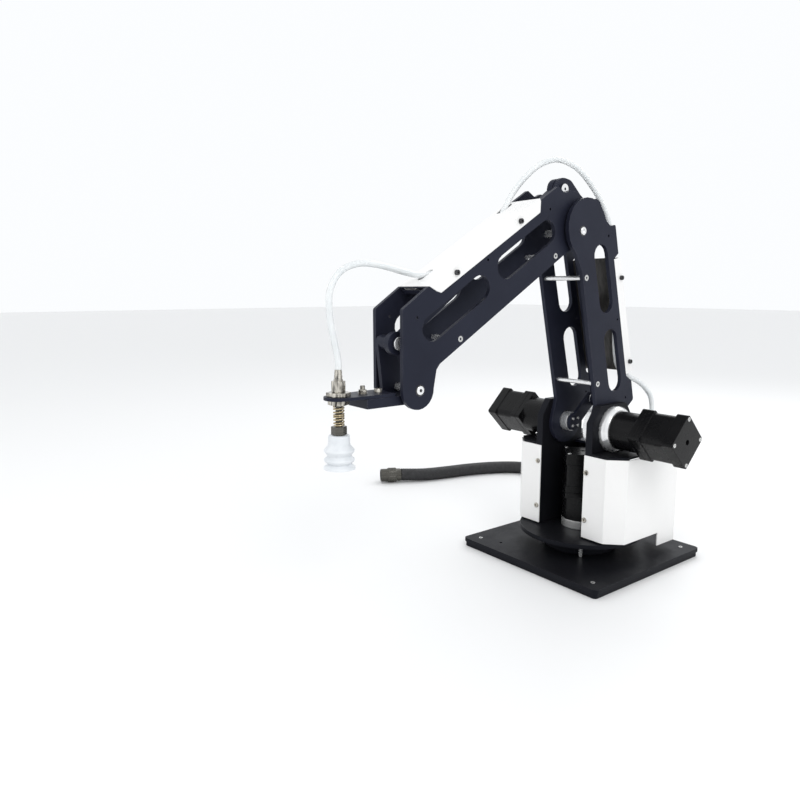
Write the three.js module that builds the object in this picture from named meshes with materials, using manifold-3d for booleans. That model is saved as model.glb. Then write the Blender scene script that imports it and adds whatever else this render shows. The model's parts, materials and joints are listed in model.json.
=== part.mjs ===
// Desktop robot arm: three geared stepper drives move a turret, an upper arm and a forearm,
// and two parallelogram linkages keep the spring-loaded suction cup upright.
// Millimetres, +Z up, +X forward towards the cup, +Y to the arm's own left.
// The origin is on the turning axis, at the underside of the base.
import * as THREE from "three";
import { mergeVertices } from "three/addons/utils/BufferGeometryUtils.js";
import Module from "manifold-3d";

const wasm = await Module();
wasm.setup();

// ---------- driving dimensions ----------
const GAP = 0.3; // clearance between touching pieces
const SHOULDER_Z = 214;
const UPPER_LENGTH = 305; // shoulder axis to elbow axis
const UPPER_LEAN = radians(14.3); // forward lean of the upper arm
const FOREARM_PITCH = radians(31.3); // downward slope of the forearm's edges
const WRIST_S = 355.2; // wrist axis in the forearm's own frame
const WRIST_N = -25;
// The level linkages' pins: TOP_LUG from the elbow axis and from the wrist axis,
// REAR_LUG from the elbow axis and from the shoulder axis.
const TOP_LUG = [22, 58];
const REAR_LUG = [-44, 4];
const CRANK_RADIUS = 54;
const CRANK_ANGLE = radians(140); // crank direction in the XZ plane, from +X towards +Z

const BASE_SIDE = 270;
const BASE_TOP = 14;
const BASE_PLATE = 6;
const SKIRT_INSET = 2;
const DISC_RADIUS = 97;
const DISC_BOTTOM = 38;
const DISC_TOP = 45;
const BEARING_RADIUS = 58;

const TURRET_IN = 42.5; // inner face of each turret side plate
const TURRET_OUT = 54.5;
const TURRET_HALF_X = 50;
const TURRET_TOP = 252;
const WALL_TOP = 172;
const SHELF_Z = 177.6;
const SHELF_THICK = 3;
const COVER_SHEET = 2;
const COVER_FRONT = 52.3;
const COVER_CHAMFER = 23;
const COVER_SIDE = 105.5;
const COVER_REAR = -105;

const UPPER_OUT = 41.6; // upper-arm plates, from the middle plane
const UPPER_IN = 35.4;
const FORE_OUT = 30.7; // forearm plates
const FORE_IN = 25;
const ARM_COVER = 17; // how far the arm covers stand above the plates

const DRIVE_RING_RADIUS = 36;
const GEARBOX_RADIUS = 29.5;
const MOTOR_SIDE = 57;
const MOTOR_STACK_SIDE = 55;
const HUB_RADIUS = 19.5; // the shoulder drive's output
const CRANK_HUB_RADIUS = 16; // the elbow drive's output
const PIN_RADIUS = 6;
const EYE_RADIUS = 12; // round ends of the links
const HEAD_RADIUS = 6; // heads of the elbow and wrist shafts
const ROD_RADIUS = 3.5;
const LINK_WIDTH = 16;
const LINK_IN = 4; // the level links lie between these two planes
const LINK_OUT = 13.2;
const HOSE_RADIUS = 4;
const CONDUIT_RADIUS = 13.5;
const CONDUIT_Z = 90; // height of the conduit's gland
const CONNECTOR_RADIUS = 16;
const CUP_X = 465.5; // suction cup's axis

function radians(degrees) {
  return (degrees * Math.PI) / 180;
}

const elbow = {
  x: UPPER_LENGTH * Math.sin(UPPER_LEAN),
  z: SHOULDER_Z + UPPER_LENGTH * Math.cos(UPPER_LEAN),
};
const wrist = forearmPoint(WRIST_S, WRIST_N);
const crankEnd = [CRANK_RADIUS * Math.cos(CRANK_ANGLE), CRANK_RADIUS * Math.sin(CRANK_ANGLE)];

// A point of the forearm's own frame (s along its edges, n across them) in the side view.
function forearmPoint(s, n) {
  const cos = Math.cos(FOREARM_PITCH);
  const sin = Math.sin(FOREARM_PITCH);
  return { x: elbow.x + s * cos + n * sin, z: elbow.z - s * sin + n * cos };
}

// The same turn for a vector given in the side view, into the forearm's own frame.
function intoForearm([x, z]) {
  const cos = Math.cos(FOREARM_PITCH);
  const sin = Math.sin(FOREARM_PITCH);
  return [x * cos - z * sin, x * sin + z * cos];
}

// ---------- materials ----------
function material(color, roughness, metalness) {
  return new THREE.MeshStandardMaterial({ color, roughness, metalness });
}

const blackPaint = () => material(0x2c2d33, 0.5, 0.3);
const whitePaint = () => material(0xeef0f2, 0.4, 0.05);
const steel = () => material(0xc9ccd0, 0.28, 0.95);
const darkSteel = () => material(0x55585c, 0.4, 0.9);
const brass = () => material(0xb08a4a, 0.35, 0.9);
const motorBlack = () => material(0x232429, 0.45, 0.4);
const silicone = () => material(0xf2f3f2, 0.45, 0);
const hosePlastic = () => material(0xdfe3e4, 0.3, 0);
const blackRubber = () => material(0x1b1b1d, 0.7, 0);

// ---------- geometry helpers ----------
// An outline of corners [a, b, radius]; a corner with a radius is rounded by an arc.
function rounded(corners) {
  const points = [];
  corners.forEach(([x, y, radius = 0], i) => {
    if (!radius) {
      points.push(new THREE.Vector2(x, y));
      return;
    }
    const corner = new THREE.Vector2(x, y);
    const before = new THREE.Vector2(...corners.at(i - 1).slice(0, 2)).sub(corner).normalize();
    const next = corners[(i + 1) % corners.length];
    const after = new THREE.Vector2(next[0], next[1]).sub(corner).normalize();
    const half = Math.acos(THREE.MathUtils.clamp(before.dot(after), -1, 1)) / 2;
    const centre = before.clone().add(after).normalize().multiplyScalar(radius / Math.sin(half)).add(corner);
    const start = before.multiplyScalar(radius / Math.tan(half)).add(corner).sub(centre);
    const end = after.multiplyScalar(radius / Math.tan(half)).add(corner).sub(centre);
    const from = start.angle();
    const turn = THREE.MathUtils.euclideanModulo(end.angle() - from + Math.PI, 2 * Math.PI) - Math.PI;
    const steps = Math.max(2, Math.ceil(Math.abs(turn) / radians(24)));
    for (let k = 0; k <= steps; k += 1) {
      const angle = from + (turn * k) / steps;
      points.push(new THREE.Vector2(Math.cos(angle), Math.sin(angle)).multiplyScalar(radius).add(centre));
    }
  });
  return points;
}

function circlePoints(x, y, radius, count = 16) {
  return Array.from({ length: count }, (_, i) => {
    const angle = (2 * Math.PI * (i + 0.5)) / count;
    return new THREE.Vector2(x + radius * Math.cos(angle), y + radius * Math.sin(angle));
  });
}

// Corners along an arc, from and to in degrees.
function arc(x, y, radius, from, to, steps) {
  return Array.from({ length: steps + 1 }, (_, k) => {
    const angle = radians(from + ((to - from) * k) / steps);
    return [x + radius * Math.cos(angle), y + radius * Math.sin(angle)];
  });
}

// A long slot with round ends, centred on the line from a to b.
function slotPoints([ax, ay], [bx, by], radius) {
  const along = Math.atan2(by - ay, bx - ax);
  const points = [];
  for (const [x, y, from] of [[ax, ay, along + Math.PI / 2], [bx, by, along - Math.PI / 2]]) {
    for (let k = 0; k <= 8; k += 1) {
      const angle = from + (Math.PI * k) / 8;
      points.push(new THREE.Vector2(x + radius * Math.cos(angle), y + radius * Math.sin(angle)));
    }
  }
  return points;
}

function extrude(outline, holes, depth) {
  const shape = new THREE.Shape(outline);
  shape.holes = holes.map((points) => new THREE.Path(points));
  return new THREE.ExtrudeGeometry(shape, { depth, bevelEnabled: false });
}

// A flat plate cut in the side view (a to X, b to Z), from y = low to y = high.
function sidePlate(outline, holes, low, high) {
  return extrude(outline, holes, high - low).rotateX(Math.PI / 2).translate(0, high, 0);
}

// A flat plate cut in plan, from z = low to z = high.
function floorPlate(outline, holes, low, high) {
  return extrude(outline, holes, high - low).translate(0, 0, low);
}

// A turned piece about Z from a closed profile of [radius, z] corners.
function turned(profile, segments = 20) {
  const closed = [...profile, profile[0]].map(([r, z]) => new THREE.Vector2(r, z));
  return new THREE.LatheGeometry(closed, segments);
}

// LatheGeometry turns about Y, so a piece about Z is stood up and one about Y is left as it is.
const aboutZ = (geometry) => geometry.rotateX(Math.PI / 2);
const ringProfile = (inner, outer, low, high) => [[inner, low], [outer, low], [outer, high], [inner, high]];

function rod(radius, low, high, segments = 16) {
  const bar = new THREE.CylinderGeometry(radius, radius, high - low, segments);
  return bar.translate(0, (low + high) / 2, 0);
}

function box(x0, x1, y0, y1, z0, z1) {
  const block = new THREE.BoxGeometry(x1 - x0, y1 - y0, z1 - z0);
  return block.translate((x0 + x1) / 2, (y0 + y1) / 2, (z0 + z1) / 2);
}

function tube(points, radius, steps, sides = 8) {
  const path = new THREE.CatmullRomCurve3(points.map((p) => new THREE.Vector3(...p)), false, "centripetal");
  const section = new THREE.Shape(circlePoints(0, 0, radius, sides));
  return new THREE.ExtrudeGeometry(section, { extrudePath: path, steps, bevelEnabled: false });
}

function solid(geometry) {
  const bare = geometry.index ? geometry.toNonIndexed() : geometry.clone();
  bare.deleteAttribute("normal");
  bare.deleteAttribute("uv");
  const merged = mergeVertices(bare, 1e-4);
  return new wasm.Manifold(
    new wasm.Mesh({
      numProp: 3,
      vertProperties: new Float32Array(merged.attributes.position.array),
      triVerts: new Uint32Array(merged.index.array),
    }),
  );
}

function surface(manifold) {
  const mesh = manifold.getMesh();
  const geometry = new THREE.BufferGeometry();
  geometry.setAttribute("position", new THREE.BufferAttribute(new Float32Array(mesh.vertProperties), 3));
  geometry.setIndex(new THREE.BufferAttribute(new Uint32Array(mesh.triVerts), 1));
  const flat = geometry.toNonIndexed();
  flat.computeVertexNormals();
  return flat;
}

const joined = (...pieces) => surface(pieces.map(solid).reduce((a, b) => a.add(b)));
const cut = (body, ...tools) => surface(tools.map(solid).reduce((a, b) => a.subtract(b), solid(body)));

// ---------- scene graph ----------
const robot = new THREE.Group();
robot.name = "desktop_robot_arm";
const upperArm = new THREE.Group();
upperArm.position.set(0, 0, SHOULDER_Z);
upperArm.rotation.y = UPPER_LEAN;
const forearm = new THREE.Group();
forearm.position.set(elbow.x, 0, elbow.z);
forearm.rotation.y = FOREARM_PITCH;
const atElbow = new THREE.Group();
atElbow.position.set(elbow.x, 0, elbow.z);
const atWrist = new THREE.Group();
atWrist.position.set(wrist.x, 0, wrist.z);
const atShoulder = new THREE.Group();
atShoulder.position.set(0, 0, SHOULDER_Z);
const atCup = new THREE.Group();
atCup.position.set(CUP_X, 0, 0);
robot.add(upperArm, forearm, atElbow, atWrist, atShoulder, atCup);

function part(group, name, geometry, finish) {
  const mesh = new THREE.Mesh(geometry, finish);
  mesh.name = name;
  group.add(mesh);
}

// ---------- base ----------
function square(side, corner) {
  const h = side / 2;
  return rounded([[-h, -h, corner], [h, -h, corner], [h, h, corner], [-h, h, corner]]);
}

function buildBase() {
  const skirtSide = BASE_SIDE - 2 * SKIRT_INSET;
  const shaftRadius = 9;
  const screwAt = BASE_SIDE / 2 - 21;
  const screws = [[1, 1], [1, -1], [-1, 1], [-1, -1]];
  const screwHoles = screws.map(([x, y]) => circlePoints(x * screwAt, y * screwAt, 3, 12));
  const plateBottom = BASE_TOP - BASE_PLATE;
  part(robot, "base_skirt", floorPlate(square(skirtSide, 6), [], 0, plateBottom - GAP), blackPaint());
  part(
    robot,
    "base_plate",
    floorPlate(square(BASE_SIDE, 8), [...screwHoles, circlePoints(104, -77, 2.5, 12)], plateBottom, BASE_TOP),
    blackPaint(),
  );
  part(
    robot,
    "bearing_housing",
    aboutZ(turned(ringProfile(shaftRadius + 3, BEARING_RADIUS, BASE_TOP + GAP, DISC_BOTTOM - GAP), 28)),
    blackPaint(),
  );
  part(
    robot,
    "yaw_output_shaft",
    rod(shaftRadius, BASE_TOP + GAP, DISC_TOP + 10).rotateX(Math.PI / 2),
    steel(),
  );
  part(
    robot,
    "stop_stud",
    rod(3, BASE_TOP + GAP, DISC_BOTTOM - 8, 12).rotateX(Math.PI / 2).translate(50, 42, 0),
    steel(),
  );
}

// ---------- turret ----------
// Plan of the covers and shelves on the +Y side, as a line offset inwards by t.
function coverPlan(t) {
  const chamfer = COVER_CHAMFER + t * 0.41;
  return [
    [COVER_FRONT - t, COVER_SIDE - chamfer],
    [COVER_FRONT - chamfer, COVER_SIDE - t],
    [COVER_REAR + t, COVER_SIDE - t],
  ];
}

function mirrored(points) {
  return points.map(([x, y]) => new THREE.Vector2(x, -y));
}

function sidePlatePair(name, makeGeometry, finish) {
  for (const [word, side] of [["left", 1], ["right", -1]]) {
    part(robot, `${name}_${word}`, makeGeometry(side), finish());
  }
}

function buildTurret() {
  const shaftClear = 10;
  part(
    robot,
    "turntable_disc",
    aboutZ(turned(ringProfile(shaftClear, DISC_RADIUS, DISC_BOTTOM, DISC_TOP), 36)),
    blackPaint(),
  );

  const x = TURRET_HALF_X;
  const outline = rounded([
    [-x, DISC_TOP + GAP],
    [x, DISC_TOP + GAP],
    [x, 227],
    [33, TURRET_TOP],
    [-33, TURRET_TOP],
    [-x, 227],
  ]);
  const bore = circlePoints(0, SHOULDER_Z, HUB_RADIUS + 1, 24);
  sidePlatePair(
    "turret_side_plate",
    (side) => sidePlate(outline, [bore], ...(side > 0 ? [TURRET_IN, TURRET_OUT] : [-TURRET_OUT, -TURRET_IN])),
    blackPaint,
  );

  const conduitHole = rod(CONDUIT_RADIUS - 4, 0, 70, 20).rotateZ(Math.PI / 2).translate(0, 0, CONDUIT_Z);
  const wall = box(-x, 5 - x, GAP - TURRET_IN, TURRET_IN - GAP, DISC_TOP + GAP, WALL_TOP);
  part(robot, "turret_rear_wall", cut(wall, conduitHole), blackPaint());

  sidePlatePair(
    "cover_shelf",
    (side) => {
      const notch = TURRET_OUT + DRIVE.ring + 2 * GAP;
      const inner = TURRET_OUT + GAP;
      const plan = [
        [x, inner],
        ...coverPlan(2.3),
        [COVER_REAR + 2.3, inner],
        [-16, inner],
        [-16, notch],
        [16, notch],
        [16, inner],
      ];
      const points = side > 0 ? plan.map((p) => new THREE.Vector2(...p)) : mirrored(plan);
      return floorPlate(points, [], SHELF_Z, SHELF_Z + SHELF_THICK);
    },
    blackPaint,
  );

  sidePlatePair("turret_cover", turretCover, whitePaint);
}

// A bent-sheet cover: front face on the plate's edge, chamfer, side, and rear, with a
// lower leg behind the disc.
function turretCover(side) {
  const inner = coverPlan(COVER_SHEET).reverse();
  const plan = [
    [COVER_FRONT, TURRET_IN + GAP],
    ...coverPlan(0),
    [COVER_REAR, TURRET_OUT + GAP],
    [COVER_REAR + COVER_SHEET, TURRET_OUT + GAP],
    ...inner,
    [COVER_FRONT - COVER_SHEET, TURRET_IN + GAP],
  ];
  const points = side > 0 ? plan.map((p) => new THREE.Vector2(...p)) : mirrored(plan);
  const legBottom = 26;
  const legFront = -58;
  const shell = floorPlate(points, [], legBottom, SHELF_Z - GAP);
  const notch = box(legFront, COVER_FRONT + 5, -150, 150, legBottom - 5, DISC_TOP + 2.3);
  return cut(shell, notch);
}

// ---------- drives ----------
// A planetary gearbox and stepper along +Z from its mounting face at z = 0.
// The square motor is turned by 45 degrees, as it is bolted on.
const DRIVE = { ring: 13.3, gearbox: 51.2, adapter: 60, motorFront: 71, stack: 106, end: 123.5 };

function diamond(side, corner) {
  return square(side, corner).map((p) => p.rotateAround(new THREE.Vector2(), Math.PI / 4));
}

function driveRing(outer) {
  return aboutZ(
    turned([
      [HUB_RADIUS + 1, 0],
      [outer, 0],
      [outer, DRIVE.ring - 6],
      [Math.min(outer, GEARBOX_RADIUS + 2), DRIVE.ring],
      [HUB_RADIUS + 1, DRIVE.ring],
    ], 28),
  );
}

function driveGearbox(shaftHole) {
  const profile = ringProfile(shaftHole, GEARBOX_RADIUS, DRIVE.ring + GAP, DRIVE.gearbox + 1);
  const barrel = aboutZ(turned(profile, 28));
  const adapter = floorPlate(diamond(MOTOR_SIDE, 4), [], DRIVE.gearbox, DRIVE.adapter);
  return joined(barrel, adapter);
}

function driveMotor() {
  const front = floorPlate(diamond(MOTOR_SIDE, 4), [], DRIVE.adapter + GAP, DRIVE.motorFront);
  const stack = floorPlate(diamond(MOTOR_STACK_SIDE, 9), [], DRIVE.motorFront - 1, DRIVE.stack + 1);
  const end = floorPlate(diamond(MOTOR_SIDE, 4), [circlePoints(0, 0, 4, 12)], DRIVE.stack, DRIVE.end);
  return joined(front, stack, end);
}

function buildDrives() {
  const pieces = (ringOuter) => ({
    gearbox_ring: [driveRing(ringOuter), steel],
    gearbox: [driveGearbox(8), motorBlack],
    motor: [driveMotor(), motorBlack],
  });
  const places = {
    yaw: [GEARBOX_RADIUS + 0.5, (g) => g.translate(0, 0, DISC_TOP + GAP)],
    shoulder: [
      DRIVE_RING_RADIUS,
      (g) => g.rotateX(-Math.PI / 2).translate(0, TURRET_OUT + GAP, SHOULDER_Z),
    ],
    elbow: [
      DRIVE_RING_RADIUS,
      (g) => g.rotateX(Math.PI / 2).translate(0, -TURRET_OUT - GAP, SHOULDER_Z),
    ],
  };
  for (const [drive, [ringOuter, place]] of Object.entries(places)) {
    for (const [piece, [geometry, finish]] of Object.entries(pieces(ringOuter))) {
      part(robot, `${drive}_${piece}`, place(geometry), finish());
    }
  }
}

// ---------- upper arm ----------
// Arm frame: x forward, z along the arm from the shoulder axis to the elbow axis.
const UPPER_FRONT = 14; // front edge, and the rear edge behind the axis line
const UPPER_REAR = -64.5;
const UPPER_EAR = -76.5;
const ELBOW_SHAFT_RADIUS = 5.5;
const HUB_END = 64; // where the output hubs end inside the gearbox rings

function upperPlate(low, high, shaftHole) {
  const outline = rounded([
    ...arc(0, 0, 36, -150, 35, 12),
    [UPPER_FRONT + 2, 44],
    [UPPER_FRONT - 2, 247],
    ...arc(-12, UPPER_LENGTH + 1.5, 43, -40, 175, 14),
    [-64, 299],
    [-70, 299, 2],
    [UPPER_EAR, 299, 3],
    [UPPER_EAR, 256],
    [UPPER_REAR, 250],
    [UPPER_REAR, 64],
    [UPPER_EAR, 52],
    [UPPER_EAR, 20, 4],
    [-44, 6, 6],
  ]);
  const slots = [[48 + 17, 149 - 16], [175 + 16, 278 - 16]];
  const holes = [
    circlePoints(0, 0, shaftHole, 24),
    circlePoints(0, UPPER_LENGTH, ELBOW_SHAFT_RADIUS + GAP, 20),
    ...slots.map(([from, to]) => slotPoints([-35, from], [-35, to], 16)),
    ...[30, 158, 286].map((z) => circlePoints(-57.5, z, 2, 10)),
  ];
  return sidePlate(outline, holes, low, high);
}

// Channel of sheet metal closing the arm's back: walls flush with the plates, and a back wall.
function channel(halfWidth, sheet, wallFrom, back, from, to) {
  const outer = box(back, wallFrom, -halfWidth, halfWidth, from, to);
  const inner = box(back + sheet, wallFrom + 1, sheet - halfWidth, halfWidth - sheet, from - 1, to + 1);
  return cut(outer, inner);
}

function buildUpperArm() {
  const runningClear = 0.9;
  part(upperArm, "upper_arm_plate_left", upperPlate(UPPER_IN, UPPER_OUT, HUB_RADIUS + 0.3), blackPaint());
  part(
    upperArm,
    "upper_arm_plate_right",
    upperPlate(-UPPER_OUT, -UPPER_IN, CRANK_HUB_RADIUS + runningClear),
    blackPaint(),
  );
  const rodReach = UPPER_IN - GAP;
  for (const [name, x, z] of [["lower", 7, 74.5], ["upper", 4.3, 238]]) {
    const crossRod = rod(ROD_RADIUS, -rodReach, rodReach, 12).translate(x, 0, z);
    part(upperArm, `upper_arm_rod_${name}`, crossRod, steel());
  }
  const back = UPPER_REAR - ARM_COVER;
  const coverFrom = 66;
  const coverTo = 249;
  part(
    upperArm,
    "upper_arm_cover",
    channel(UPPER_OUT - 0.2, COVER_SHEET, UPPER_REAR - GAP, back, coverFrom, coverTo),
    whitePaint(),
  );
  // The shoulder drive's output hub, bolted to the inside of its plate.
  const flangeTop = UPPER_IN - GAP;
  part(
    upperArm,
    "shoulder_output_hub",
    joined(
      rod(DRIVE_RING_RADIUS, flangeTop - 10, flangeTop, 28),
      rod(HUB_RADIUS, flangeTop - 1, HUB_END, 24),
    ),
    steel(),
  );
  part(
    upperArm,
    "elbow_shaft",
    shaft(ELBOW_SHAFT_RADIUS, UPPER_OUT, 2).translate(0, 0, UPPER_LENGTH),
    steel(),
  );
}

// A shaft through both plates, with a low round head outside each.
function shaft(radius, face, headHeight) {
  const low = face + GAP;
  const high = low + headHeight;
  return joined(
    rod(radius, -low - 1, low + 1),
    rod(HEAD_RADIUS, low, high),
    rod(HEAD_RADIUS, -high, -low),
  );
}

// ---------- crank, links and rocker ----------
// A flat link from a to b in the side view, with a round, bored eye at each end.
function link(a, b, low, high, radiusA = EYE_RADIUS, radiusB = EYE_RADIUS) {
  const length = Math.hypot(b[0] - a[0], b[1] - a[1]);
  const bar = box(0, length, low, high, -LINK_WIDTH / 2, LINK_WIDTH / 2);
  const turn = Math.atan2(b[1] - a[1], b[0] - a[0]);
  bar.rotateY(-turn).translate(a[0], 0, a[1]);
  const eyes = [[a, radiusA], [b, radiusB]].map(([[x, z], r]) => rod(r, low, high, 20).translate(x, 0, z));
  const bores = [a, b].map(([x, z]) => rod(PIN_RADIUS + GAP, low - 1, high + 1).translate(x, 0, z));
  return cut(joined(bar, ...eyes), ...bores);
}

function buildLinks() {
  const boreRadius = PIN_RADIUS + GAP;
  const crankFrom = -22.7;
  const crankTo = -17.7;
  part(atShoulder, "elbow_output_hub", rod(CRANK_HUB_RADIUS, -HUB_END, crankFrom - GAP, 24), steel());
  const crankReach = Math.hypot(...crankEnd);
  const atHub = 14;
  const atPin = 11;
  const crankWeb = joined(
    box(0, crankReach, crankFrom, crankTo, -atPin, atPin),
    rod(atHub, crankFrom, crankTo, 28),
    rod(atPin, crankFrom, crankTo, 24).translate(crankReach, 0, 0),
  );
  const crankBore = rod(boreRadius, crankFrom - 1, crankTo + 1).translate(crankReach, 0, 0);
  const crank = cut(crankWeb, crankBore).rotateY(-Math.atan2(crankEnd[1], crankEnd[0]));
  part(atShoulder, "elbow_crank", crank, blackPaint());
  const driveFrom = -13;
  const driveTo = -5;
  const pin = joined(
    rod(PIN_RADIUS, crankFrom, driveTo + 1.5, 16),
    rod(PIN_RADIUS + 3, crankTo + GAP, driveFrom - GAP, 16),
  );
  part(atShoulder, "crank_pin", pin.translate(crankEnd[0], 0, crankEnd[1]), steel());

  // The upper arm's links run alongside it, from the shoulder's pins to the elbow's.
  const alongArm = ([x, z]) => [x + elbow.x, z + elbow.z - SHOULDER_Z];
  part(atShoulder, "drive_link", link(crankEnd, alongArm(crankEnd), driveFrom, driveTo), blackPaint());
  part(atShoulder, "level_link", link(REAR_LUG, alongArm(REAR_LUG), LINK_IN, LINK_OUT), blackPaint());

  const [lugX, lugZ] = REAR_LUG;
  const lugFrom = LINK_OUT + 1.3;
  const lugTo = lugFrom + 8;
  const lugHalf = 10;
  const footBottom = WALL_TOP + GAP - SHOULDER_Z;
  const footReach = TURRET_IN - GAP;
  const lug = joined(
    box(lugX - lugHalf, lugX + lugHalf, lugFrom, lugTo, footBottom, lugZ),
    rod(EYE_RADIUS, lugFrom, lugTo, 24).translate(lugX, 0, lugZ),
    rod(PIN_RADIUS, LINK_IN - 1, lugFrom + 1, 16).translate(lugX, 0, lugZ),
    box(lugX - lugHalf, lugX + lugHalf, -footReach, footReach, footBottom, footBottom + 4),
  );
  part(atShoulder, "level_lug", lug, blackPaint());

  const rockerFrom = LINK_OUT + GAP;
  const rockerTo = rockerFrom + 8;
  const web = sidePlate(
    rounded([
      [-10, -12, 10],
      [14, -12, 12],
      [TOP_LUG[0] + 17, TOP_LUG[1], 14],
      [TOP_LUG[0] + 6, TOP_LUG[1] + 17, 14],
      [TOP_LUG[0] - 16, TOP_LUG[1] + 14, 14],
      [REAR_LUG[0] - 14, REAR_LUG[1] + 15, 12],
      [REAR_LUG[0] - 12, REAR_LUG[1] - 13, 12],
    ]),
    [circlePoints(0, 0, ELBOW_SHAFT_RADIUS + GAP)],
    rockerFrom,
    rockerTo,
  );
  const pinAt = ([x, z]) => rod(PIN_RADIUS, LINK_IN - 1, rockerFrom + 1, 16).translate(x, 0, z);
  const boltHead = rod(8, rockerTo - 1, rockerTo + 2.8, 16).translate(TOP_LUG[0], 0, TOP_LUG[1]);
  part(atElbow, "elbow_rocker", joined(web, pinAt(TOP_LUG), pinAt(REAR_LUG), boltHead), blackPaint());

  const wristPin = [TOP_LUG[0] + wrist.x - elbow.x, TOP_LUG[1] + wrist.z - elbow.z];
  part(atElbow, "forearm_link", link(TOP_LUG, wristPin, LINK_IN, LINK_OUT, 15.5, 14.5), blackPaint());
}

// ---------- forearm ----------
// Forearm frame: x along the plates' edges from the elbow axis, z across them.
const FORE_TOP = 59.3;
const FORE_BOTTOM = -15.2;
const FORE_LUG = intoForearm(crankEnd);
const FORE_NOTCH = [[278, 76.8, 1], [271, 66], [265, FORE_TOP]]; // front corner and its step down to the edge
const WRIST_SHAFT_RADIUS = 5.5;
const CHEEK_OUT = 20.5; // wrist bracket's half width, and the inner face of its cheek
const CHEEK_IN = 14.5;

function forearmPlate(low, high) {
  const tip = intoForearm([wrist.x + 27.3 - elbow.x, 403.2 - elbow.z]);
  const outline = rounded([
    ...arc(0, 6, 31, 205, 314, 8),
    [36, FORE_BOTTOM],
    [312, FORE_BOTTOM],
    [320, FORE_BOTTOM - 3],
    ...arc(WRIST_S + 1.8, WRIST_N + 1.4, 24.5, 209, 391, 12),
    [...tip, 4],
    ...FORE_NOTCH,
    [56.8, FORE_TOP],
    [47, 73.5, 2],
    [7, 73.5, 3],
    [-2, 58, 8],
    [-14, 57],
    [-27, 48],
    ...arc(...FORE_LUG, 14, 45, 235, 8),
  ]);
  const holes = [
    circlePoints(0, 0, ELBOW_SHAFT_RADIUS + GAP),
    circlePoints(WRIST_S, WRIST_N, WRIST_SHAFT_RADIUS + GAP),
    slotPoints([56.5, 29.7], [150, 29.7], 16.6),
    slotPoints([204, 29.7], [299, 29.7], 16.6),
    ...[36.4, 174.6, 312.8].map((s) => circlePoints(s, 54, 2, 10)),
  ];
  return sidePlate(outline, holes, low, high);
}

function buildForearm() {
  const drivePin = rod(PIN_RADIUS, -FORE_IN - 1, -4, 16).translate(FORE_LUG[0], 0, FORE_LUG[1]);
  part(forearm, "forearm_plate_left", forearmPlate(FORE_IN, FORE_OUT), blackPaint());
  const rightPlate = joined(forearmPlate(-FORE_OUT, -FORE_IN), drivePin);
  part(forearm, "forearm_plate_right", rightPlate, blackPaint());
  const reach = FORE_IN - GAP;
  for (const [name, s] of [["rear", 57], ["front", 267]]) {
    const crossRod = rod(ROD_RADIUS, -reach, reach, 12).translate(s, 0, -7.5);
    part(forearm, `forearm_rod_${name}`, crossRod, steel());
  }

  // The bridge closes the front end, with a long slot along its top.
  const [frontCorner, frontTop] = FORE_NOTCH[0];
  const strip = box(frontCorner, frontCorner + 2, -reach, reach, frontTop - 10, frontTop);
  const slot = box(frontCorner - 1, frontCorner + 3, -21.5, 21.5, frontTop - 4.5, frontTop - 1.6);
  part(forearm, "forearm_bridge", cut(strip, slot), blackPaint());
  part(forearm, "forearm_cover", forearmCover(), whitePaint());
  part(
    forearm,
    "wrist_shaft",
    shaft(WRIST_SHAFT_RADIUS, FORE_OUT, 1.8).translate(WRIST_S, 0, WRIST_N),
    steel(),
  );
}

// A channel over the forearm's top edges, with both ends cut to the plates and a hose slot at each end.
function forearmCover() {
  const sheet = 1.6;
  const from = 48.5;
  const to = FORE_NOTCH[0][0];
  const top = FORE_TOP + ARM_COVER;
  const shell = box(from, to, -FORE_OUT, FORE_OUT, FORE_TOP + GAP, top);
  const hollow = box(from - 1, to + 1, sheet - FORE_OUT, FORE_OUT - sheet, FORE_TOP - 1, top - sheet);
  const rearSlant = box(-30, 0, -60, 60, -60, 60).rotateY(radians(-33)).translate(57, 0, FORE_TOP);
  const back = 0.6;
  const frontEdge = [...FORE_NOTCH].reverse().map(([s, n]) => new THREE.Vector2(s - back, n));
  const frontSlant = sidePlate(
    [
      new THREE.Vector2(FORE_NOTCH[2][0] - back, FORE_TOP - 5),
      ...frontEdge,
      new THREE.Vector2(to + 5, top + 5),
      new THREE.Vector2(to + 5, FORE_TOP - 5),
    ],
    [],
    -60,
    60,
  );
  const hoseSlot = (a, b, radius) => floorPlate(slotPoints(a, b, radius), [], top - 5, top + 5);
  const rearSlot = hoseSlot([60, -20], [77, -20], HOSE_RADIUS + 2);
  const frontSlot = hoseSlot([240.3, -7.5], [255.7, -7.5], HOSE_RADIUS + 1.3);
  return cut(shell, hollow, rearSlant, frontSlant, rearSlot, frontSlot);
}

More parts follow.
